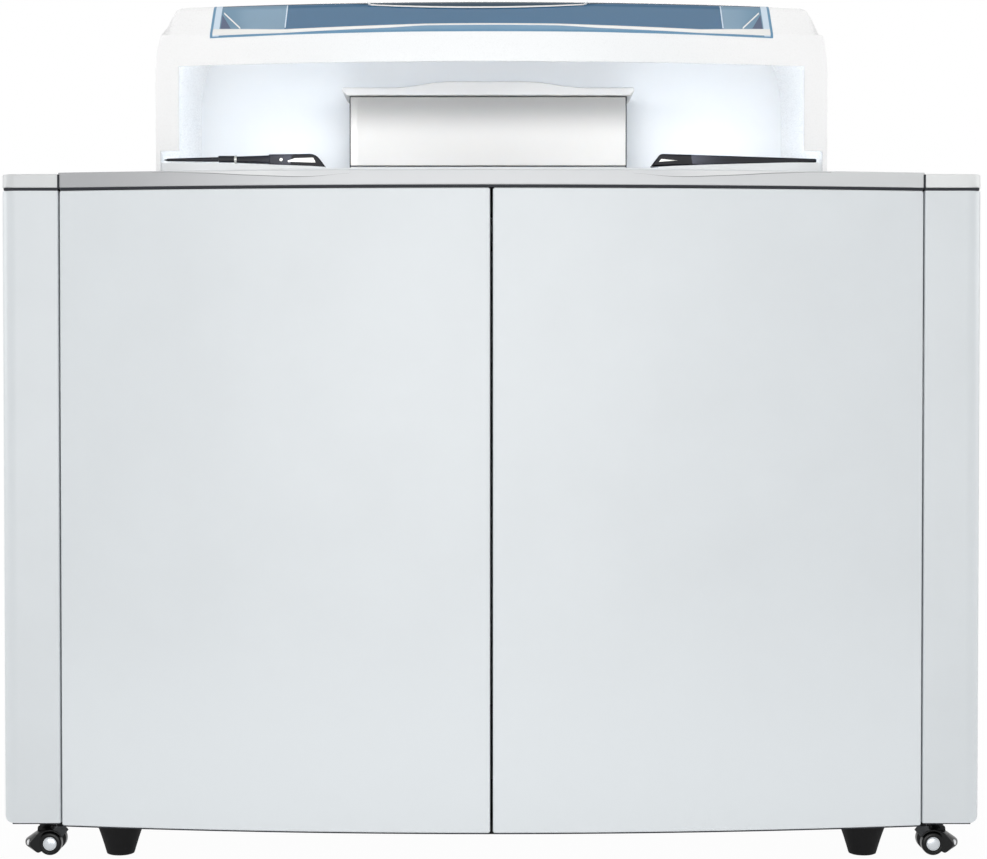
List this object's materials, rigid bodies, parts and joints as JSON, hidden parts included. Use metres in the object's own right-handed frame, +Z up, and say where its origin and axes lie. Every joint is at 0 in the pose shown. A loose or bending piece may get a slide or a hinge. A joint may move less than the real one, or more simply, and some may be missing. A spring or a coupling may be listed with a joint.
{
  "type": "chemistry analyzer",
  "caption": "Floor-standing analyzer cabinet with bowed doors, a hinged hood with a tinted window, turning disks, swinging probe arms, castors and levelling feet.",
  "frame": {"origin": "on the floor, in the middle of the footprint", "axes": "+X to the viewer's right along the doors, +Y to the rear, +Z up"},
  "size_m": [1.3, 0.8, 1.165],
  "materials": {
    "door_white": "satin powder coat",
    "cap_grey": "fine satin",
    "worktop_grey": "fine satin",
    "deck_white": "satin",
    "station_grey": "fine texture",
    "hood_white": "soft gloss",
    "tinted_window": "blue tinted acrylic",
    "frame_steel": "zinc grey",
    "bright_steel": "brushed",
    "arm_black": "satin black",
    "rubber_black": "moulded rubber",
    "black_plastic": "moulded",
    "disk_plastic": "natural polymer",
    "service_grey": "cast and sheet"
  },
  "bodies": {
    "cabinet": {"base_frame": "frame_steel", "upper_frame": "frame_steel", "floor_pan": "frame_steel", "left_pillar": "door_white", "right_pillar": "door_white", "left_side_panel": "door_white", "right_side_panel": "door_white", "rear_panel": "door_white", "left_door_upper_pivot": "bright_steel", "left_door_lower_pivot": "bright_steel", "right_door_upper_pivot": "bright_steel", "right_door_lower_pivot": "bright_steel", "door_catch": "black_plastic", "worktop": "worktop_grey", "worktop_left_cap": "cap_grey", "worktop_right_cap": "cap_grey", "deck_plate": "deck_white", "rear_console": "deck_white", "wash_station_housing": "station_grey", "wash_station_lid": "deck_white", "sample_tub": "frame_steel", "reagent_tub": "frame_steel", "cuvette_bath": "frame_steel", "hood_hinge_left_base": "bright_steel", "hood_hinge_right_base": "bright_steel", "water_tank": "disk_plastic", "waste_tank": "disk_plastic", "power_supply": "service_grey", "pump_unit": "service_grey", "fan_frame": "black_plastic", "power_inlet": "black_plastic"},
    "hood": {"hood_shell": "hood_white", "hood_window": "tinted_window", "hood_hinge_left_leaf": "bright_steel", "hood_hinge_right_leaf": "bright_steel"},
    "left_leaf": {"left_door": "door_white"},
    "right_leaf": {"right_door": "door_white"},
    "sample_lift": {"sample_arm_column": "bright_steel"},
    "sample_arm": {"sample_probe_arm": "arm_black", "sample_needle": "bright_steel"},
    "reagent_lift": {"reagent_arm_column": "bright_steel"},
    "reagent_arm": {"reagent_probe_arm": "arm_black", "reagent_needle": "bright_steel"},
    "sample_rotor": {"sample_disk": "disk_plastic"},
    "reagent_rotor": {"reagent_disk": "disk_plastic"},
    "cuvette_rotor": {"cuvette_carousel": "disk_plastic"},
    "fan": {"fan_rotor": "black_plastic"},
    "switch": {"main_switch": "black_plastic"},
    "front_left_swivel": {"front_left_castor_fork": "black_plastic"},
    "front_left_wheel": {"front_left_castor_wheel": "rubber_black"},
    "front_left_pad": {"front_left_foot": "rubber_black"},
    "front_right_swivel": {"front_right_castor_fork": "black_plastic"},
    "front_right_wheel": {"front_right_castor_wheel": "rubber_black"},
    "front_right_pad": {"front_right_foot": "rubber_black"},
    "rear_left_swivel": {"rear_left_castor_fork": "black_plastic"},
    "rear_left_wheel": {"rear_left_castor_wheel": "rubber_black"},
    "rear_left_pad": {"rear_left_foot": "rubber_black"},
    "rear_right_swivel": {"rear_right_castor_fork": "black_plastic"},
    "rear_right_wheel": {"rear_right_castor_wheel": "rubber_black"},
    "rear_right_pad": {"rear_right_foot": "rubber_black"}
  },
  "joints": [
    {"name": "left_door_hinge", "type": "hinge", "parent": "cabinet", "child": "left_leaf", "pos_m": [-0.565, -0.34496, 0.468], "axis": [0, 0, -1], "range_deg": [0, 95]},
    {"name": "right_door_hinge", "type": "hinge", "parent": "cabinet", "child": "right_leaf", "pos_m": [0.565, -0.34496, 0.468], "axis": [0, 0, 1], "range_deg": [0, 95]},
    {"name": "hood_hinge", "type": "hinge", "parent": "cabinet", "child": "hood", "pos_m": [0, 0.172, 1.152], "axis": [-1, 0, 0], "range_deg": [0, 65]},
    {"name": "sample_arm_raise", "type": "slide", "parent": "cabinet", "child": "sample_lift", "axis": [0, 0, 1], "range_m": [-0.005, 0.03]},
    {"name": "sample_arm_swing", "type": "hinge", "parent": "sample_lift", "child": "sample_arm", "pos_m": [-0.25, -0.268, 0.93], "axis": [0, 0, -1], "range_deg": [0, 150]},
    {"name": "reagent_arm_raise", "type": "slide", "parent": "cabinet", "child": "reagent_lift", "axis": [0, 0, 1], "range_m": [-0.005, 0.03]},
    {"name": "reagent_arm_swing", "type": "hinge", "parent": "reagent_lift", "child": "reagent_arm", "pos_m": [0.25, -0.268, 0.93], "axis": [0, 0, 1], "range_deg": [0, 150]},
    {"name": "sample_rotor_turn", "type": "hinge", "parent": "cabinet", "child": "sample_rotor", "pos_m": [-0.29, -0.105, 0.88], "axis": [0, 0, 1], "continuous": true},
    {"name": "reagent_rotor_turn", "type": "hinge", "parent": "cabinet", "child": "reagent_rotor", "pos_m": [0.29, -0.105, 0.88], "axis": [0, 0, 1], "continuous": true},
    {"name": "cuvette_rotor_turn", "type": "hinge", "parent": "cabinet", "child": "cuvette_rotor", "pos_m": [0, -0.15, 0.88], "axis": [0, 0, 1], "continuous": true},
    {"name": "front_left_castor_swivel", "type": "hinge", "parent": "cabinet", "child": "front_left_swivel", "pos_m": [-0.6, -0.304, 0.05], "axis": [0, 0, 1], "continuous": true},
    {"name": "front_left_wheel_roll", "type": "hinge", "parent": "front_left_swivel", "child": "front_left_wheel", "pos_m": [-0.592, -0.304, 0.0165], "axis": [0, 1, 0], "continuous": true},
    {"name": "front_left_foot_screw", "type": "slide", "parent": "cabinet", "child": "front_left_pad", "axis": [0, 0, 1], "range_m": [0, 0.0025]},
    {"name": "front_right_castor_swivel", "type": "hinge", "parent": "cabinet", "child": "front_right_swivel", "pos_m": [0.6, -0.304, 0.05], "axis": [0, 0, 1], "continuous": true},
    {"name": "front_right_wheel_roll", "type": "hinge", "parent": "front_right_swivel", "child": "front_right_wheel", "pos_m": [0.592, -0.304, 0.0165], "axis": [0, 1, 0], "continuous": true},
    {"name": "front_right_foot_screw", "type": "slide", "parent": "cabinet", "child": "front_right_pad", "axis": [0, 0, 1], "range_m": [0, 0.0025]},
    {"name": "rear_left_castor_swivel", "type": "hinge", "parent": "cabinet", "child": "rear_left_swivel", "pos_m": [-0.6, 0.362, 0.05], "axis": [0, 0, 1], "continuous": true},
    {"name": "rear_left_wheel_roll", "type": "hinge", "parent": "rear_left_swivel", "child": "rear_left_wheel", "pos_m": [-0.592, 0.362, 0.0165], "axis": [0, 1, 0], "continuous": true},
    {"name": "rear_left_foot_screw", "type": "slide", "parent": "cabinet", "child": "rear_left_pad", "axis": [0, 0, 1], "range_m": [0, 0.0025]},
    {"name": "rear_right_castor_swivel", "type": "hinge", "parent": "cabinet", "child": "rear_right_swivel", "pos_m": [0.6, 0.362, 0.05], "axis": [0, 0, 1], "continuous": true},
    {"name": "rear_right_wheel_roll", "type": "hinge", "parent": "rear_right_swivel", "child": "rear_right_wheel", "pos_m": [0.592, 0.362, 0.0165], "axis": [0, 1, 0], "continuous": true},
    {"name": "rear_right_foot_screw", "type": "slide", "parent": "cabinet", "child": "rear_right_pad", "axis": [0, 0, 1], "range_m": [0, 0.0025]},
    {"name": "fan_spin", "type": "hinge", "parent": "cabinet", "child": "fan", "pos_m": [-0.4, 0.38, 0.65], "axis": [0, 1, 0], "continuous": true},
    {"name": "switch_rock", "type": "hinge", "parent": "cabinet", "child": "switch", "pos_m": [0.48, 0.3915, 0.215], "axis": [1, 0, 0], "range_deg": [0, 14]}
  ]
}
